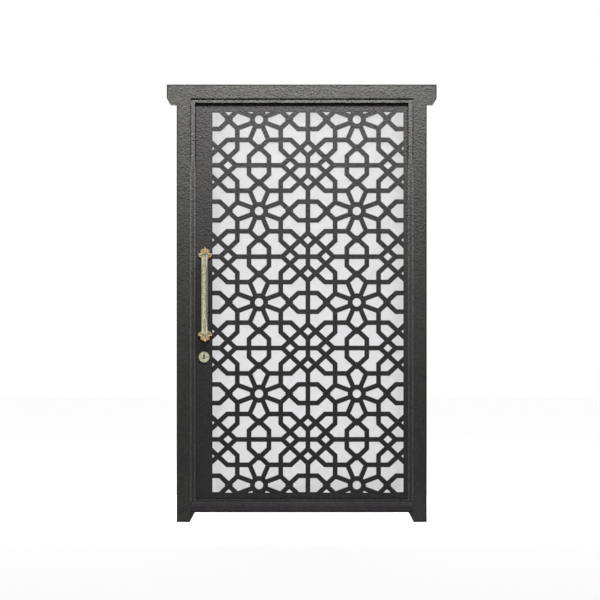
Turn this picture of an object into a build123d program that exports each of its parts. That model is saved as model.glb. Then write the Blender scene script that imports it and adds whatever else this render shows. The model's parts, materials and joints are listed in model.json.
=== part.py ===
from build123d import *
import os

# Laser-cut steel door in its frame, in millimetres.
# Seen from the front: +X right, +Y into the wall, +Z up.
# The origin lies at floor level on the outer side face of the hinge jamb, at mid depth.

# Frame
overall_width = 1219.2
overall_height = 2133.6
frame_depth = 70.0
frame_face = 69.0
header_face = 69.0
frame_wall = 2.0
fold_radius = 3.0
horn_length = 48.5
horn_height = 97.5
horn_chamfer_width = 17.5
horn_chamfer_height = 30.0
foot_height = 47.3
foot_width = 63.5
sill_face = 52.4
sill_lip = 12.0
sill_groove_height = 24.0
sill_groove = 1.5

# Stop strips that the leaf closes against
stop_width = 20.0
stop_depth = 12.0
stop_setback = 8.0
stop_radius = 2.0

# Leaf
leaf_gap = 8.0
stop_clearance = 5.0
sheet_thickness = 3.0
tube_wall = 2.0
tube_radius = 2.0
tube_setback = 4.0
drain_radius = 4.0
lock_border = 84.7
hinge_border = 24.0
top_border = 44.0
bottom_border = 34.0

# Lattice: shares of half a cell, from the star's centre to the cell's edge
columns = 2
rows = 5
bar_width = 23.3
star_margin = 36.6
ring_hole_radius = 20.5
ring_radius = 45.0
ring_sides = 16
spoke_offset = 0.0155
petal_tip = 0.636
petal_shoulder = 0.192
chevron_apex = 0.600
chevron_rise = 0.204
corner_bend = 0.650
corner_cut = 0.475

# Backing sheet and its beads
backing_thickness = 3.0
backing_clearance = 1.0
bead_size = 12.0

# Hinges
hinge_count = 3
hinge_inset = 230.0
knuckle_radius = 9.0
knuckle_length = 45.0
knuckle_gap = 0.3
pin_radius = 5.0
pin_length = 38.0
pin_clearance = 0.05
pin_end_clearance = 1.0
hinge_plate_width = 34.0
hinge_plate_thickness = 3.0

# Lock
lock_height = 804.0
backset = 55.1
lock_case_height = 150.0
lock_case_width = 76.0
lock_case_depth = 18.0
faceplate_height = 190.0
faceplate_width = 24.0
faceplate_thickness = 2.0
fit_clearance = 0.2
bolt_height = 30.0
bolt_depth = 12.0
bolt_length = 60.0
bolt_drop = 30.0
strike_thickness = 2.0
strike_hole_clearance = 2.0
rose_radius = 27.0
rose_thickness = 5.0
rose_edge = 2.5
keyhole_radius = 4.8
keyhole_neck = 5.2
keyhole_foot = 9.0
keyhole_drop = 17.0
key_passage_width = 20.0
key_passage_height = 38.0

# Pull handle
handle_inset = 60.6
handle_above_lock = 71.0
handle_length = 468.0
handle_reach = 48.0
grip_width = 31.0
grip_depth = 20.0
grip_corner = 6.5
grip_bend = 26.0
grip_end_inset = 42.0
ornament_thickness = 7.0
ornament_half_width = 34.0

# Places that follow from the sizes above
frame_front = -frame_depth / 2
frame_back = frame_depth / 2
door_x = -overall_width / 2
lock_outer = -overall_width
lock_inner = lock_outer + frame_face
hinge_inner = -frame_face
header_bottom = overall_height - header_face
jamb_top = overall_height - horn_height
heel_height = foot_height * (frame_face - foot_width) / (frame_face + stop_width - foot_width)
sill_top = foot_height + sill_face
ledge = sill_top - sill_lip
stop_front = frame_front + stop_setback
stop_back = stop_front + stop_depth
leaf_left = lock_inner + leaf_gap
leaf_right = hinge_inner - leaf_gap
leaf_bottom = ledge + leaf_gap
leaf_top = header_bottom - leaf_gap
sheet_front = stop_back + stop_clearance
sheet_back = sheet_front + sheet_thickness
leaf_back = frame_back
window_left = lock_inner + stop_width + lock_border
window_right = hinge_inner - stop_width - hinge_border
window_bottom = ledge + stop_width + bottom_border
window_top = header_bottom - stop_width - top_border
window_width = window_right - window_left
window_height = window_top - window_bottom
half_cell_width = (window_width + bar_width) / columns / 2
half_cell_height = (window_height - 2 * star_margin) / (rows - 1) / 2
lock_stile_inner = window_left - tube_setback
hinge_stile_inner = window_right + tube_setback
top_rail_bottom = window_top + tube_setback
bottom_rail_top = window_bottom - tube_setback
pin_x = (leaf_right + hinge_inner) / 2
pin_y = frame_back + knuckle_radius
lock_x = leaf_left + backset
lock_y = (sheet_back + leaf_back) / 2
handle_x = leaf_left + handle_inset
handle_bottom = lock_height + handle_above_lock
handle_top = handle_bottom + handle_length


def facing(y):
    """The upright plane at depth y, seen from the front with X right and Z up."""
    return Plane.XZ.offset(-y)


def write(piece, name):
    piece.part.label = name
    export_step(piece.part, f"parts/{name}.step")


def jamb_outline():
    """The lock jamb's face, its inner corner cut back at the foot."""
    with BuildSketch(Plane.XY) as outline:
        with BuildLine():
            Polyline(
                (lock_outer, 0),
                (lock_outer + foot_width, 0),
                (lock_inner, heel_height),
                (lock_inner, jamb_top),
                (lock_outer, jamb_top),
                close=True,
            )
        make_face()
    return outline.sketch


def jamb_cavity():
    """The hollow of the jamb, open at the foot and under the header."""
    with BuildSketch(Plane.XY) as cavity:
        add(jamb_outline())
        offset(amount=-frame_wall, kind=Kind.INTERSECTION)
        with Locations((lock_outer + frame_wall, -frame_wall)):
            Rectangle(foot_width - 2.5 * frame_wall, 3 * frame_wall, align=(Align.MIN, Align.MIN))
        with Locations((lock_outer + frame_wall, jamb_top - 2 * frame_wall)):
            Rectangle(frame_face - 2 * frame_wall, 3 * frame_wall, align=(Align.MIN, Align.MIN))
    return cavity.sketch


def build_jambs():
    with BuildPart() as hinge_jamb:
        with BuildSketch(facing(frame_front)):
            add(jamb_outline())
        extrude(amount=-frame_depth)
        fillet(hinge_jamb.edges().filter_by(Axis.Z).group_by(Axis.Y)[0], radius=fold_radius)
        with BuildSketch(facing(frame_front + frame_wall)):
            add(jamb_cavity())
        extrude(amount=-(frame_depth - 2 * frame_wall), mode=Mode.SUBTRACT)
    with BuildPart() as lock_jamb:
        add(hinge_jamb.part)
        with BuildSketch(Plane.YZ.offset(lock_inner)):
            with Locations((lock_y, lock_height - bolt_drop)):
                Rectangle(
                    bolt_depth + 2 * strike_hole_clearance,
                    bolt_height + 2 * strike_hole_clearance,
                )
        extrude(amount=-2 * frame_wall, mode=Mode.SUBTRACT)
    with BuildPart() as mirrored_jamb:
        mirror(hinge_jamb.part, about=Plane.YZ.offset(door_x))
    write(lock_jamb, "lock_jamb")
    write(mirrored_jamb, "hinge_jamb")


def gusset_outline():
    """The splay of the foot: a wedge between the jamb and the underside of the sill."""
    with BuildSketch(Plane.XY) as outline:
        with BuildLine():
            Polyline(
                (lock_inner, heel_height),
                (lock_inner + stop_width, foot_height),
                (lock_inner, foot_height),
                close=True,
            )
        make_face()
    return outline.sketch


def build_gussets():
    """Two wedges of folded sheet, open towards the jambs they are welded to."""
    with BuildSketch(Plane.XY) as hollow:
        add(gusset_outline())
        offset(amount=-frame_wall, kind=Kind.INTERSECTION)
    with BuildPart() as lock_side_gusset:
        with BuildSketch(facing(frame_front)):
            add(gusset_outline())
        extrude(amount=-frame_depth)
        with BuildSketch(facing(frame_front + frame_wall)):
            add(hollow.sketch)
            with Locations((-frame_wall, 0)):
                add(hollow.sketch)
        extrude(amount=-(frame_depth - 2 * frame_wall), mode=Mode.SUBTRACT)
    with BuildPart() as hinge_side_gusset:
        mirror(lock_side_gusset.part, about=Plane.YZ.offset(door_x))
    write(lock_side_gusset, "lock_side_gusset")
    write(hinge_side_gusset, "hinge_side_gusset")


def header_outline():
    """The header's face: horns past the jambs, with a splayed lower corner."""
    with BuildSketch(Plane.XY) as outline:
        with BuildLine() as half:
            Polyline(
                (door_x, overall_height),
                (lock_outer - horn_length, overall_height),
                (lock_outer - horn_length, jamb_top + horn_chamfer_height),
                (lock_outer - horn_length + horn_chamfer_width, jamb_top),
                (lock_inner, jamb_top),
                (lock_inner, header_bottom),
                (door_x, header_bottom),
            )
            mirror(half.line, about=Plane.YZ.offset(door_x))
        make_face()
    return outline.sketch


def build_header():
    with BuildPart() as header:
        with BuildSketch(facing(frame_front)):
            add(header_outline())
        extrude(amount=-frame_depth)
        front_edges = header.faces().sort_by(Axis.Y)[0].edges()
        fillet(front_edges.filter_by(lambda edge: edge.center().Z > jamb_top + 1), radius=fold_radius)
        with BuildSketch(facing(frame_front + frame_wall)):
            add(header_outline())
            offset(amount=-frame_wall, kind=Kind.INTERSECTION)
            cavity_width = frame_face - 2 * frame_wall
            with Locations((lock_outer + frame_face / 2, jamb_top), (-frame_face / 2, jamb_top)):
                Rectangle(cavity_width, 4 * frame_wall)
        extrude(amount=-(frame_depth - 2 * frame_wall), mode=Mode.SUBTRACT)
    write(header, "header")


def build_sill():
    """The sill rail: a hollow box with a lip in front of the bottom stop."""
    with BuildPart() as sill_rail:
        with BuildSketch(Plane.YZ.offset(lock_inner)):
            with BuildLine():
                Polyline(
                    (frame_front, foot_height),
                    (frame_front, foot_height + sill_groove_height - sill_groove),
                    (frame_front + sill_groove, foot_height + sill_groove_height),
                    (frame_front, foot_height + sill_groove_height + sill_groove),
                    (frame_front, sill_top),
                    (stop_front, sill_top),
                    (stop_front, ledge),
                    (frame_back, ledge),
                    (frame_back, foot_height),
                    close=True,
                )
            make_face()
            cavity_low = foot_height + frame_wall
            with Locations((0, (cavity_low + ledge - frame_wall) / 2)):
                Rectangle(
                    frame_depth - 4 * frame_wall,
                    ledge - frame_wall - cavity_low,
                    mode=Mode.SUBTRACT,
                )
        extrude(amount=hinge_inner - lock_inner)
        front_edges = sill_rail.edges().filter_by(Axis.X).group_by(Axis.Y)[0].sort_by(Axis.Z)
        fillet([front_edges[0], front_edges[-1]], radius=fold_radius)
    write(sill_rail, "sill_rail")


def build_stops():
    """Four flat bars, mitred at the corners, set back behind the frame's face."""
    corners = [
        (lock_inner, ledge, 1, 1),
        (hinge_inner, ledge, -1, 1),
        (hinge_inner, header_bottom, -1, -1),
        (lock_inner, header_bottom, 1, -1),
    ]
    names = ["stop_bottom", "stop_hinge_side", "stop_top", "stop_lock_side"]
    for index, name in enumerate(names):
        x1, z1, inward_x1, inward_z1 = corners[index]
        x2, z2, inward_x2, inward_z2 = corners[(index + 1) % 4]
        with BuildPart() as stop:
            with BuildSketch(facing(stop_front)):
                with BuildLine():
                    Polyline(
                        (x1, z1),
                        (x2, z2),
                        (x2 + inward_x2 * stop_width, z2 + inward_z2 * stop_width),
                        (x1 + inward_x1 * stop_width, z1 + inward_z1 * stop_width),
                        close=True,
                    )
                make_face()
            extrude(amount=-stop_depth)
            inner_edge = stop.faces().sort_by(Axis.Y)[0].edges().sort_by(SortBy.LENGTH)[-2]
            fillet(inner_edge, radius=stop_radius)
        write(stop, name)


def point(across, up):
    """A place in the lattice cell, from shares of half its width and height."""
    return (across * half_cell_width, up * half_cell_height)


def lattice_lines():
    """Centre lines of the bars in the upper right quarter of a star's cell."""
    shoulder = petal_tip - petal_shoulder
    arm_end = shoulder + 1 - corner_bend
    chevron_bend = chevron_apex + chevron_rise
    past = 0.1
    lines = [
        [(0, spoke_offset), (shoulder, petal_shoulder)],
        [
            (petal_tip + past, -past),
            (shoulder, petal_shoulder),
            (shoulder, corner_bend),
            (arm_end + past, 1 + past),
        ],
        [(chevron_apex - past, -past), (chevron_bend, chevron_rise), (1 + past, chevron_rise)],
        [(1, -past), (1, corner_cut)],
        [(1, arm_end), (1, 1 + past)],
    ]
    turned = [[(up, across) for across, up in line] for line in lines]
    corner = [[(corner_cut - past, 1 + past), (1 + past, corner_cut - past)]]
    return lines + turned + corner


def cell_web():
    """The bars of one whole cell, from its quarter mirrored twice."""
    with BuildSketch() as quarter:
        for line in lattice_lines():
            with BuildLine() as centre_line:
                Polyline(*[point(across, up) for across, up in line])
            trace(centre_line.line, line_width=bar_width)
        RegularPolygon(ring_radius, ring_sides)
        Circle(ring_hole_radius, mode=Mode.SUBTRACT)
        Rectangle(half_cell_width, half_cell_height, align=(Align.MIN, Align.MIN), mode=Mode.INTERSECT)
    with BuildSketch() as web:
        add(quarter.sketch)
        mirror(about=Plane.YZ)
        mirror(about=Plane.XZ)
    return web.sketch


def window_holes():
    """Every cut-out of the lattice, clipped to the window."""
    web = cell_web()
    with BuildSketch() as cell:
        Rectangle(2 * half_cell_width, 2 * half_cell_height)
        add(web, mode=Mode.SUBTRACT)
    with BuildSketch() as holes:
        with GridLocations(2 * half_cell_width, 2 * half_cell_height, columns, rows):
            add(cell.sketch)
        Rectangle(window_width, window_height, mode=Mode.INTERSECT)
    return holes.sketch


def build_laser_cut_panel():
    """One sheet with its borders and the star lattice in it."""
    window_centre = ((window_left + window_right) / 2, (window_bottom + window_top) / 2)
    with BuildPart() as laser_cut_panel:
        with BuildSketch(facing(sheet_front)):
            with Locations(((leaf_left + leaf_right) / 2, (leaf_bottom + leaf_top) / 2)):
                Rectangle(leaf_right - leaf_left, leaf_top - leaf_bottom)
            with Locations(window_centre):
                add(window_holes(), mode=Mode.SUBTRACT)
            with Locations((lock_x, lock_height)):
                Rectangle(key_passage_width, key_passage_height, mode=Mode.SUBTRACT)
        extrude(amount=-sheet_thickness)
    write(laser_cut_panel, "laser_cut_panel")


def keyhole():
    """A keyhole: a round head with a flared slot below it."""
    with BuildSketch() as hole:
        with Locations((0, keyhole_drop / 2)):
            Circle(keyhole_radius)
        with BuildLine():
            Polyline(
                (-keyhole_neck / 2, keyhole_drop / 2),
                (-keyhole_foot / 2, -keyhole_drop / 2),
                (keyhole_foot / 2, -keyhole_drop / 2),
                (keyhole_neck / 2, keyhole_drop / 2),
                close=True,
            )
        make_face()
    return hole.sketch


def stile_tube(left, right):
    """A rectangular tube as tall as the leaf, capped at both ends, with a drain hole in its foot."""
    middle = ((left + right) / 2, (sheet_back + leaf_back) / 2)
    width = right - left
    depth = leaf_back - sheet_back
    with BuildPart() as tube:
        with BuildSketch(Plane.XY.offset(leaf_bottom)):
            with Locations(middle):
                RectangleRounded(width, depth, tube_radius)
        extrude(amount=leaf_top - leaf_bottom)
        with BuildSketch(Plane.XY.offset(leaf_bottom + tube_wall)):
            with Locations(middle):
                Rectangle(width - 2 * tube_wall, depth - 2 * tube_wall)
        extrude(amount=leaf_top - leaf_bottom - 2 * tube_wall, mode=Mode.SUBTRACT)
        with BuildSketch(Plane.XY.offset(leaf_bottom)):
            with Locations(middle):
                Circle(drain_radius)
        extrude(amount=tube_wall, mode=Mode.SUBTRACT)
    return tube


def build_lock_stile():
    """The wide tube behind the plain border, cut out for the lock."""
    with BuildPart() as lock_stile:
        add(stile_tube(leaf_left, lock_stile_inner).part)
        with BuildSketch(Plane.YZ.offset(leaf_left)):
            with Locations((lock_y, lock_height)):
                Rectangle(faceplate_width + 2 * fit_clearance, faceplate_height + 2 * fit_clearance)
        extrude(amount=2 * tube_wall, mode=Mode.SUBTRACT)
        with BuildSketch(facing(sheet_back)):
            with Locations((lock_x, lock_height)):
                Rectangle(key_passage_width, key_passage_height)
        extrude(amount=-(leaf_back - sheet_back), mode=Mode.SUBTRACT)
    write(lock_stile, "lock_stile")


def build_hinge_stile():
    hinge_stile = stile_tube(hinge_stile_inner, leaf_right)
    write(hinge_stile, "hinge_stile")


def build_rails():
    """Top and bottom tubes between the stiles."""
    spans = {
        "top_rail": (top_rail_bottom, leaf_top),
        "bottom_rail": (leaf_bottom, bottom_rail_top),
    }
    for name, (low, high) in spans.items():
        with BuildPart() as rail:
            with BuildSketch(Plane.YZ.offset(lock_stile_inner)):
                with Locations(((sheet_back + leaf_back) / 2, (low + high) / 2)):
                    RectangleRounded(leaf_back - sheet_back, high - low, tube_radius)
                    Rectangle(
                        leaf_back - sheet_back - 2 * tube_wall,
                        high - low - 2 * tube_wall,
                        mode=Mode.SUBTRACT,
                    )
            extrude(amount=hinge_stile_inner - lock_stile_inner)
        write(rail, name)


def build_backing():
    """The pale sheet behind the cut-outs and the beads that hold it."""
    centre = ((lock_stile_inner + hinge_stile_inner) / 2, (bottom_rail_top + top_rail_bottom) / 2)
    width = hinge_stile_inner - lock_stile_inner
    height = top_rail_bottom - bottom_rail_top
    with BuildPart() as backing_sheet:
        with BuildSketch(facing(sheet_back)):
            with Locations(centre):
                Rectangle(width - 2 * backing_clearance, height - 2 * backing_clearance)
        extrude(amount=-backing_thickness)
    write(backing_sheet, "backing_sheet")
    corners = [
        (lock_stile_inner, bottom_rail_top, 1, 1),
        (hinge_stile_inner, bottom_rail_top, -1, 1),
        (hinge_stile_inner, top_rail_bottom, -1, -1),
        (lock_stile_inner, top_rail_bottom, 1, -1),
    ]
    names = ["bead_bottom", "bead_hinge_side", "bead_top", "bead_lock_side"]
    for index, name in enumerate(names):
        x1, z1, inward_x1, inward_z1 = corners[index]
        x2, z2, inward_x2, inward_z2 = corners[(index + 1) % 4]
        with BuildPart() as bead:
            with BuildSketch(facing(sheet_back + backing_thickness)):
                with BuildLine():
                    Polyline(
                        (x1, z1),
                        (x2, z2),
                        (x2 + inward_x2 * bead_size, z2 + inward_z2 * bead_size),
                        (x1 + inward_x1 * bead_size, z1 + inward_z1 * bead_size),
                        close=True,
                    )
                make_face()
            extrude(amount=-bead_size)
        write(bead, name)


def hinge_heights():
    low = leaf_bottom + hinge_inset
    high = leaf_top - hinge_inset
    step = (high - low) / (hinge_count - 1)
    return [low + step * index for index in range(hinge_count)]


def build_hinges():
    """Lift-off hinges: a pin on the frame's half and a blind bore in the leaf's half."""
    for index, height in enumerate(hinge_heights(), start=1):
        with BuildPart() as frame_half:
            with BuildSketch(Plane.XY.offset(height - knuckle_gap)):
                with Locations((pin_x, pin_y)):
                    Circle(knuckle_radius)
                with Locations((pin_x, frame_back)):
                    Rectangle(
                        hinge_plate_width,
                        hinge_plate_thickness,
                        align=(Align.MIN, Align.MIN),
                    )
            extrude(amount=-knuckle_length)
            with BuildSketch(Plane.XY.offset(height - knuckle_gap)):
                with Locations((pin_x, pin_y)):
                    Circle(pin_radius)
            extrude(amount=knuckle_gap + pin_length)
        write(frame_half, f"hinge_{index}_frame_half")
        with BuildPart() as leaf_half:
            with BuildSketch(Plane.XY.offset(height)):
                with Locations((pin_x, pin_y)):
                    Circle(knuckle_radius)
                with Locations((pin_x, frame_back)):
                    Rectangle(
                        hinge_plate_width,
                        hinge_plate_thickness,
                        align=(Align.MAX, Align.MIN),
                    )
            extrude(amount=knuckle_length)
            with BuildSketch(Plane.XY.offset(height)):
                with Locations((pin_x, pin_y)):
                    Circle(pin_radius + pin_clearance)
            extrude(amount=pin_length + pin_end_clearance, mode=Mode.SUBTRACT)
        write(leaf_half, f"hinge_{index}_leaf_half")


def build_lock():
    """A mortise lock in the stile with its bolt drawn in, and the strike on the jamb."""
    with BuildPart() as lock_faceplate:
        with BuildSketch(Plane.YZ.offset(leaf_left)):
            with Locations((lock_y, lock_height)):
                Rectangle(faceplate_width, faceplate_height)
            with Locations((lock_y, lock_height - bolt_drop)):
                Rectangle(bolt_depth + fit_clearance, bolt_height + fit_clearance, mode=Mode.SUBTRACT)
        extrude(amount=faceplate_thickness)
    write(lock_faceplate, "lock_faceplate")
    with BuildPart() as lock_case:
        with BuildSketch(Plane.YZ.offset(leaf_left + faceplate_thickness)):
            with Locations((lock_y, lock_height)):
                Rectangle(lock_case_depth, lock_case_height)
        extrude(amount=lock_case_width)
        with BuildSketch(Plane.YZ.offset(leaf_left + faceplate_thickness)):
            with Locations((lock_y, lock_height - bolt_drop)):
                Rectangle(bolt_depth + fit_clearance, bolt_height + fit_clearance)
        extrude(amount=bolt_length - faceplate_thickness + fit_clearance, mode=Mode.SUBTRACT)
        with BuildSketch(facing(lock_y - lock_case_depth / 2)):
            with Locations((lock_x, lock_height)):
                add(keyhole())
        extrude(amount=-lock_case_depth, mode=Mode.SUBTRACT)
    write(lock_case, "lock_case")
    with BuildPart() as lock_bolt:
        with BuildSketch(Plane.YZ.offset(leaf_left)):
            with Locations((lock_y, lock_height - bolt_drop)):
                Rectangle(bolt_depth, bolt_height)
        extrude(amount=bolt_length)
    write(lock_bolt, "lock_bolt")
    with BuildPart() as strike_plate:
        with BuildSketch(Plane.YZ.offset(lock_inner)):
            with Locations((lock_y, lock_height)):
                Rectangle(faceplate_width, faceplate_height)
            with Locations((lock_y, lock_height - bolt_drop)):
                Rectangle(
                    bolt_depth + strike_hole_clearance,
                    bolt_height + strike_hole_clearance,
                    mode=Mode.SUBTRACT,
                )
        extrude(amount=strike_thickness)
    write(strike_plate, "strike_plate")


def build_roses():
    """Round keyhole roses on the front and the back of the leaf."""
    with BuildPart() as front_rose:
        with BuildSketch(facing(sheet_front)):
            with Locations((lock_x, lock_height)):
                Circle(rose_radius)
        extrude(amount=rose_thickness)
        chamfer(front_rose.faces().sort_by(Axis.Y)[0].edges(), length=rose_edge)
        with BuildSketch(facing(sheet_front)):
            with Locations((lock_x, lock_height)):
                add(keyhole())
        extrude(amount=rose_thickness, mode=Mode.SUBTRACT)
    write(front_rose, "front_rose")
    with BuildPart() as back_rose:
        with BuildSketch(facing(leaf_back + rose_thickness)):
            with Locations((lock_x, lock_height)):
                Circle(rose_radius)
                add(keyhole(), mode=Mode.SUBTRACT)
        extrude(amount=rose_thickness)
    write(back_rose, "back_rose")


def ornament_outline():
    """A palmette: a pointed crown of three lobes over two side leaves, its tip at the origin."""
    wide = ornament_half_width
    with BuildSketch() as outline:
        with BuildLine() as half:
            ThreePointArc((0, 0), (0.14 * wide, -0.24 * wide), (0.34 * wide, -0.34 * wide))
            ThreePointArc((0.34 * wide, -0.34 * wide), (0.60 * wide, -0.48 * wide), (0.60 * wide, -0.80 * wide))
            ThreePointArc((0.60 * wide, -0.80 * wide), (0.76 * wide, -0.98 * wide), (wide, -0.94 * wide))
            ThreePointArc((wide, -0.94 * wide), (0.94 * wide, -1.34 * wide), (0.62 * wide, -1.56 * wide))
            ThreePointArc((0.62 * wide, -1.56 * wide), (0.42 * wide, -1.86 * wide), (0, -2.20 * wide))
            mirror(half.line, about=Plane.YZ)
        make_face()
    return outline.sketch


def build_ornament():
    """The upper foot plate of the handle."""
    with BuildPart() as ornament:
        with BuildSketch(facing(sheet_front)):
            with Locations((handle_x, handle_top)):
                add(ornament_outline())
        extrude(amount=ornament_thickness)
    return ornament


def build_handle():
    """The pull: a grip bowed out between two ornamented foot plates."""
    upper = build_ornament()
    write(upper, "handle_upper_ornament")
    with BuildPart() as lower:
        mirror(upper.part, about=Plane.XY.offset((handle_bottom + handle_top) / 2))
    write(lower, "handle_lower_ornament")
    foot_y = sheet_front - ornament_thickness
    grip_y = sheet_front - handle_reach
    low = handle_bottom + grip_end_inset
    high = handle_top - grip_end_inset
    with BuildPart() as handle_grip:
        with BuildLine(Plane.YZ.offset(handle_x)) as path:
            FilletPolyline((foot_y, high), (grip_y, high), (grip_y, low), (foot_y, low), radius=grip_bend)
        with BuildSketch(facing(foot_y)):
            with Locations((handle_x, high)):
                grip_section = Rectangle(grip_width, grip_depth)
            chamfer(grip_section.vertices(), length=grip_corner)
        sweep(path=path.wire())
    write(handle_grip, "handle_grip")


os.makedirs("parts", exist_ok=True)
build_header()
build_jambs()
build_gussets()
build_sill()
build_stops()
build_laser_cut_panel()
build_lock_stile()
build_hinge_stile()
build_rails()
build_backing()
build_hinges()
build_lock()
build_roses()
build_handle()
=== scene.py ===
import json
import math

import bmesh
import bpy
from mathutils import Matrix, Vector
from mathutils.geometry import interpolate_bezier


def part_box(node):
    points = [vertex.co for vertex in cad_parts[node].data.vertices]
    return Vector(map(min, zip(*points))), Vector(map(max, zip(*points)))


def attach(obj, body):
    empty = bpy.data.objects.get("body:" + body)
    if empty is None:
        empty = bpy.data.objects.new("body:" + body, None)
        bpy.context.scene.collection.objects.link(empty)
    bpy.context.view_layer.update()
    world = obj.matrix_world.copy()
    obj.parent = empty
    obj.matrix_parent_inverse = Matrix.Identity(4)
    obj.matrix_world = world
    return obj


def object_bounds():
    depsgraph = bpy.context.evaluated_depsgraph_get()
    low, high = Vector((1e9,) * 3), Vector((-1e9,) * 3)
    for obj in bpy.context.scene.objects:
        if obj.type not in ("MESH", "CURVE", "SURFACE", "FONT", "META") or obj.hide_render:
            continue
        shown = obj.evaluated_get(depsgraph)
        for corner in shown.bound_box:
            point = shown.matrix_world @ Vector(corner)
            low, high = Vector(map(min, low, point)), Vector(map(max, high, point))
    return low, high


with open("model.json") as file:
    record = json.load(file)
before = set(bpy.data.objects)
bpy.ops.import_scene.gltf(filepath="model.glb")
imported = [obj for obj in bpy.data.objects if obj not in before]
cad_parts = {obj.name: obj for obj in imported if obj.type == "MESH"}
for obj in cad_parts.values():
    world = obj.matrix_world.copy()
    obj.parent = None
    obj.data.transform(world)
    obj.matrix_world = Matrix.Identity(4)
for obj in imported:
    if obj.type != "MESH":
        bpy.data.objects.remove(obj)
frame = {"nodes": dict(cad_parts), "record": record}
cad_low, cad_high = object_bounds()

MM = 0.001

# The door's size, read from the frame
HINGE_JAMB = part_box("hinge_jamb")
LOCK_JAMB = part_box("lock_jamb")
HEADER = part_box("header")
DOOR_X = (HINGE_JAMB[1][0] + LOCK_JAMB[0][0]) / 2
FRONT = HEADER[0][1]

# The photograph's frame: metres across it, where its middle lies on the door, and the eye's distance
VIEW_WIDTH = 2.925
VIEW_X = DOOR_X - 0.0083
VIEW_Z = 1.0827
VIEW_DISTANCE = 12.0

# Light: the world's fill on the object, and what the eye sees added on the floor
WORLD_FILL = 0.07
FLOOR_GLOW = 0.84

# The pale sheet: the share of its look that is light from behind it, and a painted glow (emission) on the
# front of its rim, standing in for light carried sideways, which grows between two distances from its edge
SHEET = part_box("backing_sheet")
SHEET_MIDDLE = [(SHEET[0][axis] + SHEET[1][axis]) / 2 for axis in range(3)]
SHEET_HALF = [(SHEET[1][axis] - SHEET[0][axis]) / 2 for axis in range(3)]
SHEET_THROUGH = 0.94
RIM_PAINTED_GLOW = 0.92
RIM_START = 0.024
RIM_FULL = 0.012

# The side stops, as far from the door's middle as they stand
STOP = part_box("stop_lock_side")
STOP_PLACE = DOOR_X - (STOP[0][0] + STOP[1][0]) / 2
STOP_HALF = (STOP[1][0] - STOP[0][0]) / 2
STOP_TOP = STOP[1][2]

# Heights between which the paint goes from painted shade by the stops, above, to painted highlights on
# their edges, below
HIGHLIGHTS_BELOW = 1.70
SHADOWS_ABOVE = 1.78

# The outer edges of the frame's front, and the sill's and the bottom stop's heights
JAMB_HALF = (HINGE_JAMB[1][0] - LOCK_JAMB[0][0]) / 2
HEADER_HALF = (HEADER[1][0] - HEADER[0][0]) / 2
HEADER_TOP = HEADER[1][2]
SILL_FOOT, SILL_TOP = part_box("sill_rail")[0][2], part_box("sill_rail")[1][2]
LIP_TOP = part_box("stop_bottom")[1][2]
FLOOR = 0.0

# The pull, in millimetres: its grip's section and bends as they are in the frame
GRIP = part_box("handle_grip")
GRIP_FLAT = 9.0
GRIP_BEND = 36.0
GRIP_RISE = (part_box("handle_upper_ornament")[0][1] - GRIP[0][1]) / MM - GRIP_BEND
BEND_END = GRIP_RISE + GRIP_BEND * math.pi / 2
GRIP_MIDDLE = BEND_END + (GRIP[1][2] - GRIP[0][2]) / MM / 2 - GRIP_BEND

# How deep a raised form is sunk into the face that it grows from, in millimetres
SUNK = 0.4


def material(name):
    """A new node material, with its node tree and Principled shader."""
    made = bpy.data.materials.new(name)
    made.use_nodes = True
    return made, made.node_tree, made.node_tree.nodes["Principled BSDF"]


def noise(tree, vector, scale, detail=2.0, roughness=0.5, distortion=0.0):
    texture = tree.nodes.new("ShaderNodeTexNoise")
    texture.inputs["Scale"].default_value = scale
    texture.inputs["Detail"].default_value = detail
    texture.inputs["Roughness"].default_value = roughness
    texture.inputs["Distortion"].default_value = distortion
    tree.links.new(vector, texture.inputs["Vector"])
    return texture.outputs["Fac"]


def cells(tree, vector, scale, smoothness):
    """Rounded cells, 0 at their middles and rising to their borders."""
    texture = tree.nodes.new("ShaderNodeTexVoronoi")
    texture.feature = "SMOOTH_F1"
    texture.inputs["Scale"].default_value = scale
    texture.inputs["Smoothness"].default_value = smoothness
    tree.links.new(vector, texture.inputs["Vector"])
    return texture.outputs["Distance"]


def ramp(tree, value, stops):
    """A colour ramp over a value, from (place, colour) stops."""
    made = tree.nodes.new("ShaderNodeValToRGB")
    elements = made.color_ramp.elements
    while len(elements) < len(stops):
        elements.new(0.5)
    for element, (place, colour) in zip(elements, stops):
        element.position = place
        element.color = (*colour, 1.0)
    tree.links.new(value, made.inputs["Fac"])
    return made.outputs["Color"]


def spread(tree, value, low, high, start=0.0, end=1.0):
    """A value from start to end turned to one from low to high."""
    made = tree.nodes.new("ShaderNodeMapRange")
    made.inputs["From Min"].default_value = start
    made.inputs["From Max"].default_value = end
    made.inputs["To Min"].default_value = low
    made.inputs["To Max"].default_value = high
    tree.links.new(value, made.inputs["Value"])
    return made.outputs["Result"]


def multiplied(tree, first, second):
    """Two colours, multiplied."""
    mix = tree.nodes.new("ShaderNodeMix")
    mix.data_type = "RGBA"
    mix.blend_type = "MULTIPLY"
    mix.inputs["Factor"].default_value = 1.0
    tree.links.new(first, mix.inputs[6])
    tree.links.new(second, mix.inputs[7])
    return mix.outputs[2]


def bump(tree, height, strength, distance, under=None):
    """Relief from a height over another relief, its strength a plain number or a value."""
    made = tree.nodes.new("ShaderNodeBump")
    if isinstance(strength, float):
        made.inputs["Strength"].default_value = strength
    else:
        tree.links.new(strength, made.inputs["Strength"])
    made.inputs["Distance"].default_value = distance
    tree.links.new(height, made.inputs["Height"])
    if under is not None:
        tree.links.new(under, made.inputs["Normal"])
    return made.outputs["Normal"]


def object_place(tree):
    return tree.nodes.new("ShaderNodeTexCoord").outputs["Object"]


def axes(tree, place):
    """A place split up, its X, Y and Z by name."""
    made = tree.nodes.new("ShaderNodeSeparateXYZ")
    tree.links.new(place, made.inputs["Vector"])
    return made.outputs


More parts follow.
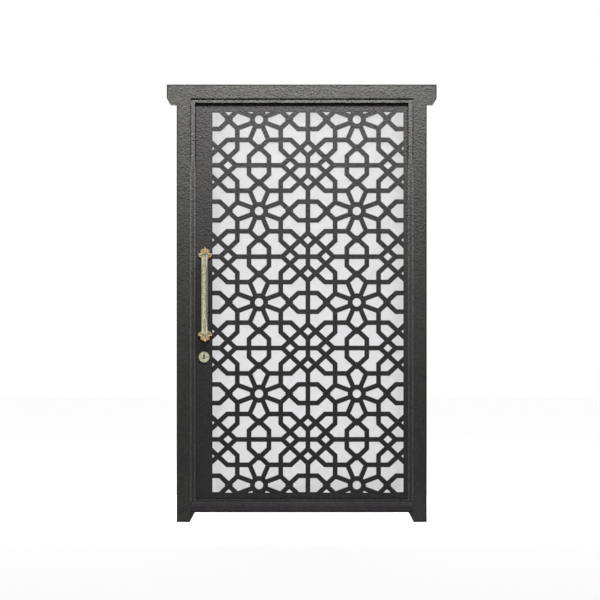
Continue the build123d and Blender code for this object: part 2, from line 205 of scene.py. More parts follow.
def maths(tree, operation, first, second=None):
    """A value worked out of one or two others, which may be plain numbers."""
    made = tree.nodes.new("ShaderNodeMath")
    made.operation = operation
    for socket, value in zip(made.inputs, (first, second)):
        if isinstance(value, (int, float)):
            socket.default_value = value
        elif value is not None:
            tree.links.new(value, socket)
    return made.outputs["Value"]


def product(tree, factors):
    """All the values, multiplied."""
    result = factors[0]
    for factor in factors[1:]:
        result = maths(tree, "MULTIPLY", result, factor)
    return result


def distance(tree, value, middle):
    """How far a value lies from a middle."""
    return maths(tree, "ABSOLUTE", maths(tree, "SUBTRACT", value, middle))


def line(tree, value, middle, half, soft):
    """1 within half of a middle, falling to 0 over a soft edge."""
    return spread(tree, distance(tree, value, middle), 1.0, 0.0, half, half + soft)


def toned(tree, share, tone):
    """1 on plain paint, and the tone given where the share is 1."""
    return spread(tree, share, 1.0, tone)


def stop_side_painted_light(tree, at):
    """Painted shade beside the side stops high on the door, and painted highlights on their edges below."""
    shadow_width, edge_half, edge_soft = 0.006, 0.002, 0.0025
    shadow_tone, painted_edge_tone = 0.2, 2.1
    away = distance(tree, distance(tree, at["X"], DOOR_X), STOP_PLACE)
    over_sill = maths(tree, "GREATER_THAN", at["Z"], SILL_TOP)
    under_header = maths(tree, "LESS_THAN", at["Z"], STOP_TOP)
    shadowed_high = spread(tree, at["Z"], 0.0, 1.0, HIGHLIGHTS_BELOW, SHADOWS_ABOVE)
    highlit = spread(tree, at["Z"], 1.0, 0.0, HIGHLIGHTS_BELOW, SHADOWS_ABOVE)
    side_shadow = spread(tree, away, 1.0, 0.0, STOP_HALF, STOP_HALF + shadow_width)
    edge = line(tree, away, STOP_HALF, edge_half, edge_soft)
    dark = product(tree, [side_shadow, shadowed_high, over_sill, under_header])
    light = product(tree, [edge, highlit, over_sill])
    return [toned(tree, dark, shadow_tone), toned(tree, light, painted_edge_tone)]


def outer_edge_painted_shade(tree, at, half, height):
    """Painted shade along the frame's front edges, that far from the door's middle and at that height."""
    edge_half, edge_soft, painted_edge_tone = 0.003, 0.005, 0.35
    side = line(tree, distance(tree, at["X"], DOOR_X), half, edge_half, edge_soft)
    level = line(tree, at["Z"], height, edge_half, edge_soft)
    front = maths(tree, "LESS_THAN", at["Y"], FRONT + MM)
    return toned(tree, product(tree, [maths(tree, "MAXIMUM", side, level), front]), painted_edge_tone)


def jamb_painted_light(tree, at):
    return [*stop_side_painted_light(tree, at), outer_edge_painted_shade(tree, at, JAMB_HALF, FLOOR)]


def header_painted_shade(tree, at):
    return [outer_edge_painted_shade(tree, at, HEADER_HALF, HEADER_TOP)]


def panel_tone_and_painted_light(tree, at):
    """Painted shade and highlights by the stops, and a slightly darker coat on the lattice than on its
    plate's border.
    """
    field_soft, field_tone = 0.003, 0.82
    across = line(tree, at["X"], SHEET_MIDDLE[0], SHEET_HALF[0], field_soft)
    up = line(tree, at["Z"], SHEET_MIDDLE[2], SHEET_HALF[2], field_soft)
    return [*stop_side_painted_light(tree, at), toned(tree, product(tree, [across, up]), field_tone)]


def stop_painted_light(tree, at):
    """Painted light: lighter high on the door, a painted highlight on the bottom stop's lip and painted
    shade at its foot.
    """
    foot_half, lip_half, soft = 0.003, 0.002, 0.001
    high_tone, foot_shade_tone, lip_highlight_tone = 1.40, 0.25, 1.7
    high = spread(tree, at["Z"], 1.0, high_tone, HIGHLIGHTS_BELOW, SHADOWS_ABOVE)
    highlit = stop_side_painted_light(tree, at)[1]
    foot = line(tree, at["Z"], SILL_TOP + MM, foot_half, soft)
    lip_highlight = line(tree, at["Z"], LIP_TOP, lip_half, soft)
    return [high, highlit, toned(tree, foot, foot_shade_tone), toned(tree, lip_highlight, lip_highlight_tone)]


def sill_painted_light(tree, at):
    """Painted light: lighter towards its top edge, and painted shade along its lower one."""
    shade_start, low_tone, high_tone = 0.010, 0.72, 1.35
    edge_half, edge_soft, painted_edge_tone = 0.005, 0.005, 0.4
    shade = spread(tree, at["Z"], low_tone, high_tone, SILL_FOOT + shade_start, SILL_TOP)
    return [shade, toned(tree, line(tree, at["Z"], SILL_FOOT, edge_half, edge_soft), painted_edge_tone)]


def paint_tone(tree, place, swells, tones, painted_light_and_tone):
    """The paint's colour: mottled by its swells, clouded, and with painted light and shade and the
    lattice's darker coat on its front faces.
    """
    at = axes(tree, place)
    dark, light = tones
    clouds = noise(tree, place, scale=6.0, detail=3.0)
    mottled = ramp(tree, swells, [(0.36, dark), (0.66, light)])
    cloudy = ramp(tree, clouds, [(0.30, (0.90, 0.89, 0.91)), (0.72, (1.0, 1.0, 0.99))])
    front = maths(tree, "LESS_THAN", at["Y"], 0.0)
    change = maths(tree, "SUBTRACT", product(tree, painted_light_and_tone(tree, at)), 1.0)
    tone = tree.nodes.new("ShaderNodeVectorMath")
    tone.operation = "SCALE"
    tree.links.new(multiplied(tree, mottled, cloudy), tone.inputs["Vector"])
    tree.links.new(maths(tree, "ADD", product(tree, [change, front]), 1.0), tone.inputs["Scale"])
    return tone.outputs["Vector"]


def hammer_paint(name, tones, painted_light_and_tone):
    """Black hammer-tone paint: dimpled, mottled and half glossy, its relief fading downwards."""
    made, tree, shader = material(name)
    place = object_place(tree)
    dimples = cells(tree, place, scale=120.0, smoothness=0.6)
    swells = noise(tree, place, scale=95.0, detail=1.5, distortion=0.6)
    flecks = noise(tree, place, scale=300.0, detail=1.0)
    depth = spread(tree, axes(tree, place)["Z"], 0.35, 1.0, 0.9, 1.9)
    relief = bump(tree, flecks, depth, 0.0007)
    relief = bump(tree, dimples, depth, 0.0040, relief)
    relief = bump(tree, swells, depth, 0.0062, relief)
    tree.links.new(paint_tone(tree, place, swells, tones, painted_light_and_tone), shader.inputs["Base Color"])
    tree.links.new(spread(tree, swells, 0.55, 0.36), shader.inputs["Roughness"])
    tree.links.new(relief, shader.inputs["Normal"])
    shader.inputs["Specular IOR Level"].default_value = 0.08
    return made


def near_rim(tree, place):
    """1 on the front of the sheet's rim, which its beads cover from behind, and 0 on the rest of it."""
    at = axes(tree, place)
    shares = []
    for name, axis in (("X", 0), ("Z", 2)):
        away = distance(tree, at[name], SHEET_MIDDLE[axis])
        half = SHEET_HALF[axis]
        shares.append(spread(tree, away, 0.0, 1.0, half - RIM_START, half - RIM_FULL))
    front = maths(tree, "LESS_THAN", at["Y"], SHEET_MIDDLE[1])
    return product(tree, [maths(tree, "MAXIMUM", *shares), front])


def mixed(tree, first, second):
    """Two shaders mixed: the node, its share of the second still to be set."""
    mix = tree.nodes.new("ShaderNodeMixShader")
    tree.links.new(first, mix.inputs[1])
    tree.links.new(second, mix.inputs[2])
    return mix


def opal_sheet():
    """A frosted sheet that lets the light behind it through, with a painted glow (emission) on the front of
    its rim, where its beads block the light behind it.
    """
    made, tree, shader = material("opal_sheet")
    place = object_place(tree)
    grain = noise(tree, place, scale=420.0, detail=2.0, roughness=0.6)
    clouds = noise(tree, place, scale=30.0, detail=3.0, roughness=0.6)
    tone = ramp(tree, clouds, [(0.3, (0.690, 0.690, 0.695)), (0.7, (0.730, 0.730, 0.740))])
    tree.links.new(tone, shader.inputs["Base Color"])
    tree.links.new(spread(tree, grain, 0.55, 0.75), shader.inputs["Roughness"])
    tree.links.new(bump(tree, grain, 0.3, 0.0004), shader.inputs["Normal"])
    glow = tree.nodes.new("ShaderNodeBsdfTranslucent")
    tree.links.new(tone, glow.inputs["Color"])
    through = mixed(tree, shader.outputs["BSDF"], glow.outputs["BSDF"])
    through.inputs["Fac"].default_value = SHEET_THROUGH
    # Painted glow: emission on the rim's front, standing in for light carried sideways through the sheet
    sideways = tree.nodes.new("ShaderNodeEmission")
    tree.links.new(tone, sideways.inputs["Color"])
    with_painted_glow = mixed(tree, through.outputs["Shader"], sideways.outputs["Emission"])
    tree.links.new(spread(tree, near_rim(tree, place), 0.0, RIM_PAINTED_GLOW), with_painted_glow.inputs["Fac"])
    tree.links.new(with_painted_glow.outputs["Shader"], tree.nodes["Material Output"].inputs["Surface"])
    return made


def painted_shade_right_side(tree, place, tone):
    """The tone, greyed on the right side of the pull: painted shade, standing in for the darker reflection
    on that side.
    """
    wander = spread(tree, noise(tree, place, scale=60.0), -0.004, 0.004)
    middle = (GRIP[0][0] + GRIP[1][0]) / 2
    side = maths(tree, "ADD", maths(tree, "SUBTRACT", axes(tree, place)["X"], middle), wander)
    share = spread(tree, side, 0.0, 1.0, -0.001, 0.006)
    painted_shade = ramp(tree, share, [(0.0, (1.0, 1.0, 1.0)), (1.0, (0.56, 0.58, 0.64))])
    return multiplied(tree, tone, painted_shade)


def brass(name, tones, shade_right_side=False):
    """Cast brass, its tones running from its hollows to its polished heights."""
    made, tree, shader = material(name)
    place = object_place(tree)
    chased = noise(tree, place, scale=170.0, detail=3.0, roughness=0.6, distortion=0.5)
    clouds = noise(tree, place, scale=22.0)
    tone = ramp(tree, chased, list(zip((0.32, 0.47, 0.64), tones)))
    # Painted shade greys the grip's right side
    if shade_right_side:
        tone = painted_shade_right_side(tree, place, tone)
    tree.links.new(tone, shader.inputs["Base Color"])
    shader.inputs["Metallic"].default_value = 1.0
    tree.links.new(spread(tree, clouds, 0.44, 0.62), shader.inputs["Roughness"])
    tree.links.new(bump(tree, chased, 0.45, 0.0010), shader.inputs["Normal"])
    return made


def plated_steel():
    """Zinc-plated steel with a fine brushed grain."""
    made, tree, shader = material("plated_steel")
    place = object_place(tree)
    stretch = tree.nodes.new("ShaderNodeMapping")
    stretch.inputs["Scale"].default_value = (40.0, 40.0, 900.0)
    tree.links.new(place, stretch.inputs["Vector"])
    grain = noise(tree, stretch.outputs["Vector"], scale=1.0)
    tone = ramp(tree, grain, [(0.3, (0.33, 0.33, 0.32)), (0.7, (0.47, 0.47, 0.45))])
    tree.links.new(tone, shader.inputs["Base Color"])
    shader.inputs["Metallic"].default_value = 1.0
    tree.links.new(spread(tree, grain, 0.30, 0.48), shader.inputs["Roughness"])
    return made


def make_finishes():
    """All finishes by name. The brasses' tones run from hollow to height."""
    jamb_tones = ((0.0415, 0.0410, 0.0405), (0.0560, 0.0560, 0.0550))
    panel_tones = ((0.0350, 0.0340, 0.0350), (0.0470, 0.0460, 0.0470))
    sill_tones = ((0.0440, 0.0415, 0.0455), (0.0600, 0.0560, 0.0615))
    brasses = {
        "brass": ((0.42, 0.39, 0.22), (0.74, 0.74, 0.50), (0.92, 0.92, 0.70)),
        "warm_brass": ((0.38, 0.24, 0.11), (0.80, 0.58, 0.32), (0.96, 0.82, 0.56)),
        "old_brass": ((0.12, 0.11, 0.06), (0.42, 0.42, 0.26), (0.72, 0.73, 0.50)),
        # A darker brown copy for the foot plates: patina and painted shade between their raised forms
        "patina_and_shade_brass": ((0.14, 0.09, 0.04), (0.42, 0.27, 0.13), (0.66, 0.47, 0.27)),
        # A lighter copy of the brass: a painted highlight on the side scrolls and the upper cap
        "highlight_brass": ((0.46, 0.38, 0.27), (0.82, 0.76, 0.63), (0.97, 0.93, 0.85)),
        "dull_brass": ((0.20, 0.19, 0.12), (0.48, 0.49, 0.35), (0.70, 0.72, 0.54)),
    }
    made = {
        "hammer_paint": hammer_paint("hammer_paint", jamb_tones, jamb_painted_light),
        "header_paint": hammer_paint("header_paint", jamb_tones, header_painted_shade),
        "panel_paint": hammer_paint("panel_paint", panel_tones, panel_tone_and_painted_light),
        "stop_paint": hammer_paint("stop_paint", jamb_tones, stop_painted_light),
        "sill_paint": hammer_paint("sill_paint", sill_tones, sill_painted_light),
        "opal_sheet": opal_sheet(),
        "grip_brass": brass("grip_brass", brasses["brass"], shade_right_side=True),
        "old_grip_brass": brass("old_grip_brass", brasses["old_brass"], shade_right_side=True),
        "plated_steel": plated_steel(),
    }
    for name, tones in brasses.items():
        made[name] = brass(name, tones)
    return made


def dress_nodes(finishes):
    """Gives every node of the frame its own finish, or else that of its material slot."""
    slots = {part["node"]: part["material_slot"] for part in frame["record"]["subparts"]}
    own = {
        # The foot plates' darker brass is patina and painted shade between the raised forms
        "handle_upper_ornament": "patina_and_shade_brass",
        "handle_lower_ornament": "patina_and_shade_brass",
        "handle_grip": "old_grip_brass",
        "front_rose": "dull_brass",
        "back_rose": "dull_brass",
        "laser_cut_panel": "panel_paint",
        "sill_rail": "sill_paint",
        "header": "header_paint",
        "stop_top": "stop_paint",
        "stop_bottom": "stop_paint",
        "stop_lock_side": "stop_paint",
        "stop_hinge_side": "stop_paint",
    }
    for name, node in frame["nodes"].items():
        finish = finishes[own.get(name, slots[name])]
        if not node.material_slots:
            node.data.materials.append(finish)
        for slot in node.material_slots:
            slot.material = finish


def sideways(spine, index, closed):
    """The direction across a spine of (x, s) points at one of them."""
    last = len(spine) - 1
    before = spine[(index - 1) % len(spine)] if closed else spine[max(index - 1, 0)]
    after = spine[(index + 1) % len(spine)] if closed else spine[min(index + 1, last)]
    run = math.hypot(after[0] - before[0], after[1] - before[1]) or 1.0
    return -(after[1] - before[1]) / run, (after[0] - before[0]) / run


class Relief:
    """Raised forms gathered in one mesh, drawn flat and laid on a curved or flat face by place."""

    def __init__(self, place):
        self.mesh = bmesh.new()
        self.place = place

    def vertex(self, x, s, h):
        return self.mesh.verts.new(self.place(x, s, h))

    def skin(self, rows, closed):
        """Faces between rows of points, and over both ends unless the rows run round."""
        pairs = list(zip(rows, rows[1:]))
        if closed:
            pairs.append((rows[-1], rows[0]))
        for first, second in pairs:
            for step in range(len(first) - 1):
                self.mesh.faces.new((first[step], first[step + 1], second[step + 1], second[step]))
            self.mesh.faces.new((first[-1], first[0], second[0], second[-1]))
        if not closed:
            self.mesh.faces.new(rows[0])
            self.mesh.faces.new(list(reversed(rows[-1])))

    def walls(self, loops):
        """Faces between closed loops of points that stand one over the other."""
        for lower, upper in zip(loops, loops[1:]):
            for step in range(len(lower)):
                after = (step + 1) % len(lower)
                self.mesh.faces.new((lower[step], lower[after], upper[after], upper[step]))

    def blade(self, spine, half_width, height, profile, rib=0.0, across=6, closed=False):
        """A raised blade along a spine of (x, s) points, with a groove of share rib down its middle."""
        thinnest, rib_width = 0.06, 0.28
        rows = []
        for index, (x, s) in enumerate(spine):
            side_x, side_s = sideways(spine, index, closed)
            share = profile(index / (len(spine) - 1))
            row = []
            for step in range(across + 1):
                v = 2.0 * step / across - 1.0
                reach = v * half_width * max(share, thinnest)
                crown = math.sqrt(1.0 - v * v) * (1.0 - rib * math.exp(-((v / rib_width) ** 2)))
                rise = height * share * crown if 0 < step < across else -SUNK
                row.append(self.vertex(x + side_x * reach, s + side_s * reach, rise))
            rows.append(row)
        self.skin(rows, closed)

    def bead(self, x, s, radius, height, around=14, rings=4):
        """A round boss, domed on top."""
        loops = []
        for level in range(rings):
            angle = math.pi / 2 * level / rings
            rise = height * math.sin(angle) if level else -SUNK
            edge = ring(radius * math.cos(angle), around, x, s)
            loops.append([self.vertex(edge_x, edge_s, rise) for edge_x, edge_s in edge])
        top = self.vertex(x, s, height)
        self.walls(loops)
        for step in range(around):
            self.mesh.faces.new((loops[-1][step], loops[-1][(step + 1) % around], top))
        self.mesh.faces.new(list(reversed(loops[0])))

    def slab(self, outline, low, high, bevel):
        """A flat-topped form over an outline, with a bevelled upper edge."""
        mid_x = sum(x for x, _ in outline) / len(outline)
        mid_s = sum(s for _, s in outline) / len(outline)
        size = max(math.hypot(x - mid_x, s - mid_s) for x, s in outline)
        loops = []
        for share, rise in ((1.0, low), (1.0, high - bevel), (1.0 - bevel / size, high)):
            edge = [(mid_x + (x - mid_x) * share, mid_s + (s - mid_s) * share) for x, s in outline]
            loops.append([self.vertex(x, s, rise) for x, s in edge])
        self.walls(loops)
        self.mesh.faces.new(list(reversed(loops[0])))
        self.mesh.faces.new(loops[-1])

    def screw(self, x, s, radius, height, turn):
        """A slotted screw head: a disc with two half discs on it, a slot apart."""
        disc_height, disc_bevel = 0.5 * height, 0.05
        half_foot, half_bevel, half_radius = 0.4 * height, 0.18 * radius, 0.96 * radius
        half_steps = 12
        self.slab(ring(radius, 24, x, s), -SUNK, disc_height, disc_bevel)
        gap = math.asin(0.16)
        for side in (0.0, math.pi):
            first, last = turn + side + gap, turn + side + math.pi - gap
            half = arc((x, s), half_radius, first, last, half_steps)
            self.slab(half, half_foot, height, half_bevel)

    def finish(self, name, body, slot, look, levels=0):
        """Makes the gathered mesh an object that rides on a body."""
        bmesh.ops.recalc_face_normals(self.mesh, faces=self.mesh.faces)
        data = bpy.data.meshes.new(name)
        self.mesh.to_mesh(data)
        self.mesh.free()
        data.materials.append(look)
        data.shade_smooth()
        piece = bpy.data.objects.new(name, data)
        bpy.context.collection.objects.link(piece)
        if levels:
            smooth = piece.modifiers.new("smooth", "SUBSURF")
            smooth.levels = levels
            smooth.render_levels = levels
        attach(piece, body)
        return piece


def leaf_shape(t):
    """A leaf: full near its foot, drawn out to a point."""
    return math.sin(math.pi * t**0.72) ** 0.8


def cord_shape(t):
    """A cord with short rounded ends."""
    return min(1.0, math.sin(math.pi * min(max(t, 0.02), 0.98)) * 4.0) ** 0.5


def ring_shape(_):
    """As thick all along."""
    return 1.0


def curve(start, toward, back, end, count=12):
    """Points on one Bezier stretch in the flat of a relief."""
    corners = [(*place, 0.0) for place in (start, toward, back, end)]
    return [(at.x, at.y) for at in interpolate_bezier(*corners, count)]


def mirrored(points, side):
    return [(side * x, s) for x, s in points]


def ring(radius, count, x=0.0, s=0.0):
    """Points round a circle."""
    turns = [2 * math.pi * step / count for step in range(count)]
    return [(x + radius * math.cos(turn), s + radius * math.sin(turn)) for turn in turns]


def arc(middle, radius, first, last, count):
    """Points along an arc, both its ends among them."""
    turns = [first + (last - first) * step / count for step in range(count + 1)]
    return [(middle[0] + radius * math.cos(turn), middle[1] + radius * math.sin(turn)) for turn in turns]


def on_plate(node, up):
    """The front of a foot plate: s runs from its tip towards the grip."""
    low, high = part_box(node)
    middle = (low[0] + high[0]) / 2
    tip = high[2] if up > 0 else low[2]
    return lambda x, s, h: Vector((middle + x * MM, low[1] - h * MM, tip - up * s * MM))


def on_grip(up):
    """The outside of the grip: s runs from the foot plate over the bend and along the front."""
    low, high = GRIP
    middle = (low[0] + high[0]) / 2
    end = high[2] if up > 0 else low[2]
    foot = low[1] + (GRIP_BEND + GRIP_RISE) * MM

    def place(x, s, h):
        rise = (h - max(0.0, abs(x) - GRIP_FLAT)) * MM
        if s < GRIP_RISE:
            return Vector((middle + x * MM, foot - s * MM, end + up * rise))
        if s < BEND_END:
            angle = (s - GRIP_RISE) / GRIP_BEND
            reach = GRIP_BEND * MM + rise
            y = low[1] + GRIP_BEND * MM - reach * math.sin(angle)
            z = end - up * GRIP_BEND * MM + up * reach * math.cos(angle)
            return Vector((middle + x * MM, y, z))
        return Vector((middle + x * MM, low[1] - rise, end - up * (GRIP_BEND + s - BEND_END) * MM))

    return place


def plate_outline(node, up):
    """The foot plate's own edge, read from its front face and drawn in a little."""
    heart, narrower, shorter, skin = 40.0, 0.93, 0.95, 0.1
    low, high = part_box(node)
    middle = (low[0] + high[0]) / 2
    tip = high[2] if up > 0 else low[2]
    edge = {}
    for vertex in frame["nodes"][node].data.vertices:
        if vertex.co.y < low[1] + skin * MM:
            x, s = (vertex.co.x - middle) / MM, up * (tip - vertex.co.z) / MM
            edge[round(math.atan2(s - heart, x), 3)] = (x * narrower, heart + (s - heart) * shorter)
    return [edge[angle] for angle in sorted(edge)]


def foot_plate_lobes(node, up, finish):
    """The two side scrolls of the foot plate, their lighter brass a painted highlight."""
    relief = Relief(on_plate(node, up))
    for side in (-1, 1):
        lobe = curve((9, 33), (17, 30), (25, 42), (31.5, 34.0), count=16)
        relief.blade(mirrored(lobe, side), 4.2, 3.0, leaf_shape, rib=0.4)
        relief.bead(side * 26.0, 37.5, 2.2, 3.0)
    return relief.finish(f"{node}_lobes", "leaf", "brass", finish, levels=1)


def foot_plate_relief(node, up, finish):
    """A palmette on the foot plate: a drop between curled leaves, over its side scrolls."""
    relief = Relief(on_plate(node, up))
    relief.blade(plate_outline(node, up), 0.9, 1.0, ring_shape, across=4, closed=True)
    relief.blade(curve((0, 28), (0, 20), (0, 12), (0, 4)), 4.2, 2.6, leaf_shape, rib=0.35)
    relief.bead(0, 30.5, 2.4, 2.4)
    relief.blade(curve((0, 55), (0, 60), (0, 66), (0, 72.5)), 5.0, 2.0, leaf_shape, rib=0.5)
    for side in (-1, 1):
        inner = curve((2.5, 31), (8, 30), (15.5, 24), (11.5, 13.5))
        relief.blade(mirrored(inner, side), 3.3, 2.2, leaf_shape, rib=0.45)
        lower = curve((13, 44), (18, 52), (25, 51), (28.5, 43.5))
        relief.blade(mirrored(lower, side), 3.2, 2.0, leaf_shape, rib=0.4)
        foot = curve((6, 55), (9, 58), (13, 57), (16.5, 53))
        relief.blade(mirrored(foot, side), 2.6, 1.8, leaf_shape, rib=0.4)
        relief.bead(side * 17.0, 29.0, 1.5, 1.8)
    return relief.finish(f"{node}_relief", "leaf", "brass", finish, levels=1)


def grip_cap(name, up, finish):
    """Leaves that wrap the grip's bend, their tips running down its front."""
    relief = Relief(on_grip(up))
    for s in (8.0, 12.0):
        relief.blade([(x, s) for x in range(-15, 16, 3)], 1.2, 1.3, cord_shape, across=4)
    for side in (-1, 1):
        fang = curve((6.0, 16), (11.5, 50), (10.0, 85), (6.0, 126), count=24)
        relief.blade(mirrored(fang, side), 3.9, 2.9, leaf_shape, rib=0.5)
        curl = curve((12.5, 16), (15.0, 34), (14.8, 48), (12.5, 70), count=16)
        relief.blade(mirrored(curl, side), 2.2, 2.2, leaf_shape, rib=0.3)
    return relief.finish(name, "leaf", "brass", finish, levels=1)


def grip_stem(name, up, finish):
    """The dull leaf between the cap's two long ones."""
    relief = Relief(on_grip(up))
    relief.blade(curve((0, 18), (0, 45), (0, 75), (0, 108), count=20), 4.6, 2.3, leaf_shape, rib=0.5)
    return relief.finish(name, "leaf", "brass", finish, levels=1)


def grip_chasing(name, up, finish):
    """Half of the grip's front: paired leaves on a stem between two fine cords."""
    relief = Relief(on_grip(up))
    start, rows, cord_x, cord_steps = 122.0, 6, 8.6, 30
    pitch = (GRIP_MIDDLE - start) / rows
    for side in (-1, 1):
        run = [start + (GRIP_MIDDLE - start) * step / cord_steps for step in range(cord_steps + 1)]
        relief.blade([(side * cord_x, s) for s in run], 0.8, 0.9, cord_shape, across=4)
    for row in range(rows):
        foot = start + pitch * row
        for side in (-1, 1):
            outer = curve((1.6, foot + 1), (5.5, foot + 3), (7.0, foot + 9), (4.6, foot + 17))
            relief.blade(mirrored(outer, side), 3.0, 1.9, leaf_shape, rib=0.3, across=4)
        stem = curve((0, foot + 7), (0, foot + 10), (0, foot + 14), (0, foot + 18))
        relief.blade(stem, 1.9, 1.6, leaf_shape, across=4)
        relief.bead(0, foot + 1.0, 2.1, 1.9, around=10, rings=3)
    return relief.finish(name, "leaf", "brass", finish, levels=1)


def pull_relief(finishes):
    """All raised forms of the pull, the same at both its ends but for the caps' brass, the upper one
    lighter as a painted highlight.
    """
    for end, up, cap_brass in (("upper", 1, "highlight_brass"), ("lower", -1, "brass")):
        foot_plate_relief(f"handle_{end}_ornament", up, finishes["warm_brass"])
        foot_plate_lobes(f"handle_{end}_ornament", up, finishes["highlight_brass"])
        grip_stem(f"handle_{end}_stem", up, finishes["old_brass"])
        grip_cap(f"handle_{end}_cap", up, finishes[cap_brass])
        grip_chasing(f"handle_{end}_chasing", up, finishes["grip_brass"])


def on_face(node, side, axis=1):
    """A flat face of a node, at its low (-1) or high (1) end along an axis, drawn in its own middle."""
    low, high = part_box(node)
    middle = (Vector(low) + Vector(high)) / 2
    face = (low if side < 0 else high)[axis]

    def place(x, s, h):
        at = Vector((middle.x, middle.y, middle.z + s * MM))
        at[1 - axis] = middle[1 - axis] + x * MM
        at[axis] = face + side * h * MM
        return at

    return place


def rose_trim(node, side, finishes):
    """A raised rim round the rose, a fine ring inside it, and the two screws that hold it."""
    rim_radius, ring_radius, screw_x, screw_radius = 22.6, 13.4, 18.0, 2.9
    rim = Relief(on_face(node, side))
    rim.blade(ring(rim_radius, 72), 1.0, 1.1, ring_shape, across=4, closed=True)
    rim.blade(ring(ring_radius, 48), 0.5, 0.5, ring_shape, across=4, closed=True)
    rim.finish(f"{node}_rim", "leaf", "brass", finishes["brass"])
    screws = Relief(on_face(node, side))
    for x, turn in ((-screw_x, 0.5), (screw_x, 2.1)):
        screws.screw(x, 0.0, screw_radius, 1.1, turn)
    screws.finish(f"{node}_screws", "leaf", "brass", finishes["old_brass"])


def keyhole_cover(finishes):
    """The drop cover that hangs over the keyhole on the inside, on its own pin."""
    pin, foot = (0.0, 16.6), (0.0, -3.0)
    pin_end, foot_end, thickness = 4.2, 8.0, 1.6
    cover = Relief(on_face("back_rose", 1))
    drop = arc(foot, foot_end, math.pi, 2 * math.pi, 16) + arc(pin, pin_end, 0.0, math.pi, 16)
    cover.slab(drop, -SUNK, thickness, 0.5)
    cover.bead(*pin, 2.4, 2.8)
    cover.bead(0.0, -5.0, 3.2, 2.3)
    cover.finish("keyhole_cover", "leaf", "brass", finishes["warm_brass"])


def lock_screws(finishes):
    """Slotted screws at both ends of the lock's faceplate and of its strike."""
    reach, radius, height = 84.0, 3.6, 0.5
    for node, side, body in (("lock_faceplate", -1, "leaf"), ("strike_plate", 1, "frame")):
        screws = Relief(on_face(node, side, axis=0))
        for s, turn in ((-reach, 1.1), (reach, 0.3)):
            screws.screw(0.0, s, radius, height, turn)
        screws.finish(f"{node}_screws", body, "plated_steel", finishes["plated_steel"])


def bead_screws(finishes):
    """The row of screws through each bead behind the pale sheet."""
    spacing, margin, radius, height = 230.0, 30.0, 3.2, 1.6
    for node in ("bead_lock_side", "bead_hinge_side", "bead_top", "bead_bottom"):
        low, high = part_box(node)
        length = max(high[0] - low[0], high[2] - low[2]) / MM
        upright = high[2] - low[2] > high[0] - low[0]
        count = round(length / spacing)
        pitch = (length - 2 * margin) / (count - 1)
        screws = Relief(on_face(node, 1))
        for index in range(count):
            along = -length / 2 + margin + pitch * index
            x, s = (0.0, along) if upright else (along, 0.0)
            screws.screw(x, s, radius, height, 0.7 * index)
        screws.finish(f"{node}_screws", "leaf", "plated_steel", finishes["plated_steel"])


def weld_shape(t):
    """A weld's ripples, with the rounded ends of a cord."""
    return (0.82 + 0.18 * math.sin(60.0 * t)) * cord_shape(t)


def on_hinge(pin, back, foot, side):
    """The back face round a hinge: x runs from its pin over its plate, s up from its foot."""
    return lambda x, s, h: Vector((pin + side * x * MM, back + h * MM, foot + s * MM))


def hinge_welds(finish):
    """Rippled weld along the three free edges of every hinge plate."""
    plate, knuckle, tall, clear = 34.0, 9.0, 45.0, 1.0
    start = knuckle + 3.0
    for body, half, side in (("frame", "frame_half", 1), ("leaf", "leaf_half", -1)):
        for number in (1, 2, 3):
            node = f"hinge_{number}_{half}"
            low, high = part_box(node)
            pin = low[0] + knuckle * MM if side > 0 else high[0] - knuckle * MM
            welds = Relief(on_hinge(pin, HEADER[1][1], low[2], side))
            upright = [(plate + clear, clear + (tall - 2 * clear) * step / 60) for step in range(61)]
            welds.blade(upright, 2.6, 3.2, weld_shape, across=6)
            for s in (-clear, tall + clear):
                level = [(start + (plate - start) * step / 40, s) for step in range(41)]
                welds.blade(level, 2.4, 3.0, weld_shape, across=6)
            welds.finish(f"{node}_welds", body, "hammer_paint", finish)


def seen_rays(tree):
    """1 for the rays that show a background: the eye's, a reflection's and a transmission's."""
    path = tree.nodes.new("ShaderNodeLightPath").outputs
    reflected = maths(tree, "MAXIMUM", path["Is Camera Ray"], path["Is Glossy Ray"])
    return maths(tree, "MAXIMUM", reflected, path["Is Transmission Ray"])


def background(tree, colour, strength):
    made = tree.nodes.new("ShaderNodeBackground")
    made.inputs["Color"].default_value = colour
    made.inputs["Strength"].default_value = strength
    return made.outputs["Background"]


def white_world():
    """White to the eye and in reflections, and a faint fill on the object, a little violet."""
    world = bpy.data.worlds.new("studio")
    bpy.context.scene.world = world
    world.use_nodes = True
    tree = world.node_tree
    tree.nodes.clear()
    fill = background(tree, (1.0, 0.86, 1.0, 1.0), WORLD_FILL)
    seen = background(tree, (1.0, 1.0, 1.0, 1.0), 1.0)
    mix = mixed(tree, fill, seen)
    tree.links.new(seen_rays(tree), mix.inputs["Fac"])
    output = tree.nodes.new("ShaderNodeOutputWorld")
    tree.links.new(mix.outputs["Shader"], output.inputs["Surface"])


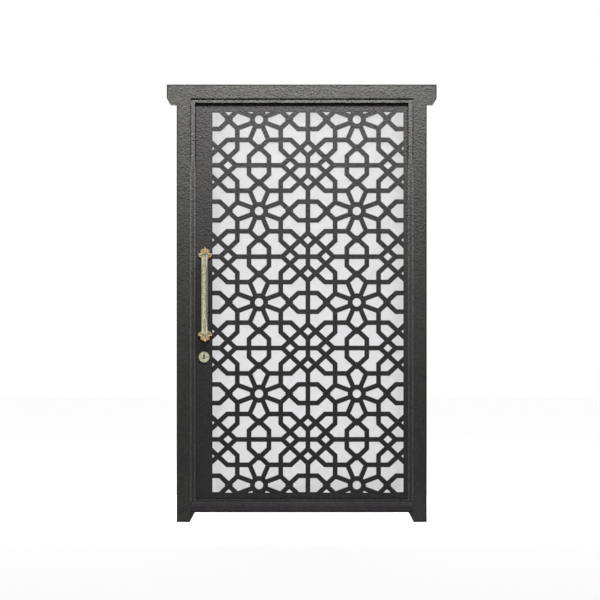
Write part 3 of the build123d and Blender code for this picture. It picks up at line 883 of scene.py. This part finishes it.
def floor():
    """A plain pale floor that keeps the door's shadow."""
    made, tree, shader = material("studio_floor")
    grain = noise(tree, object_place(tree), scale=3.0)
    tone = ramp(tree, grain, [(0.0, (0.86, 0.86, 0.86)), (1.0, (0.90, 0.90, 0.90))])
    tree.links.new(tone, shader.inputs["Base Color"])
    shader.inputs["Roughness"].default_value = 0.9
    shader.inputs["Emission Color"].default_value = (1.0, 1.0, 1.0, 1.0)
    glow = spread(tree, seen_rays(tree), 0.0, FLOOR_GLOW)
    tree.links.new(glow, shader.inputs["Emission Strength"])
    side, below = 30.0, 0.0005
    bpy.ops.mesh.primitive_plane_add(size=side, location=(DOOR_X, 0.0, cad_low.z - below))
    plane = bpy.context.object
    plane.name = "studio_floor"
    plane.data.materials.append(made)


def area_lamp(name, place, target, size, power):
    """A rectangular lamp that points at a target and is not seen itself."""
    data = bpy.data.lights.new(name, "AREA")
    data.shape = "RECTANGLE"
    data.size, data.size_y = size
    data.energy = power
    lamp = bpy.data.objects.new(name, data)
    lamp.location = place
    lamp.rotation_euler = (Vector(target) - Vector(place)).to_track_quat("-Z", "Y").to_euler()
    lamp.visible_camera = False
    bpy.context.collection.objects.link(lamp)
    return lamp


def lights():
    """A strip over the top of the door's front, kept out of its shine, and a wide lamp behind the sheet."""
    top, back = (DOOR_X, FRONT - 0.85, 2.95), (DOOR_X, 1.6, 0.93)
    strip = area_lamp("top_light", top, (DOOR_X, 0.0, 1.9), (2.2, 0.35), 46.5)
    strip.data.color = (1.0, 1.0, 0.96)
    strip.data.spread = math.radians(90.0)
    strip.visible_glossy = False
    area_lamp("back_light", back, (DOOR_X, 0.0, 0.85), (2.2, 1.8), 19.5)


def camera():
    """Straight on, with the lens that gives the photograph's frame."""
    data = bpy.data.cameras.new("camera")
    data.sensor_width = 36.0
    data.lens = data.sensor_width * VIEW_DISTANCE / VIEW_WIDTH
    view = bpy.data.objects.new("camera", data)
    view.location = (VIEW_X, FRONT - VIEW_DISTANCE, VIEW_Z)
    view.rotation_euler = (math.pi / 2, 0.0, 0.0)
    data.clip_end = 100.0
    bpy.context.collection.objects.link(view)
    bpy.context.scene.camera = view


bpy.context.scene.view_settings.view_transform = "Standard"
finishes = make_finishes()
dress_nodes(finishes)
pull_relief(finishes)
rose_trim("front_rose", -1, finishes)
rose_trim("back_rose", 1, finishes)
keyhole_cover(finishes)
lock_screws(finishes)
bead_screws(finishes)
hinge_welds(finishes["hammer_paint"])
white_world()
floor()
lights()
camera()
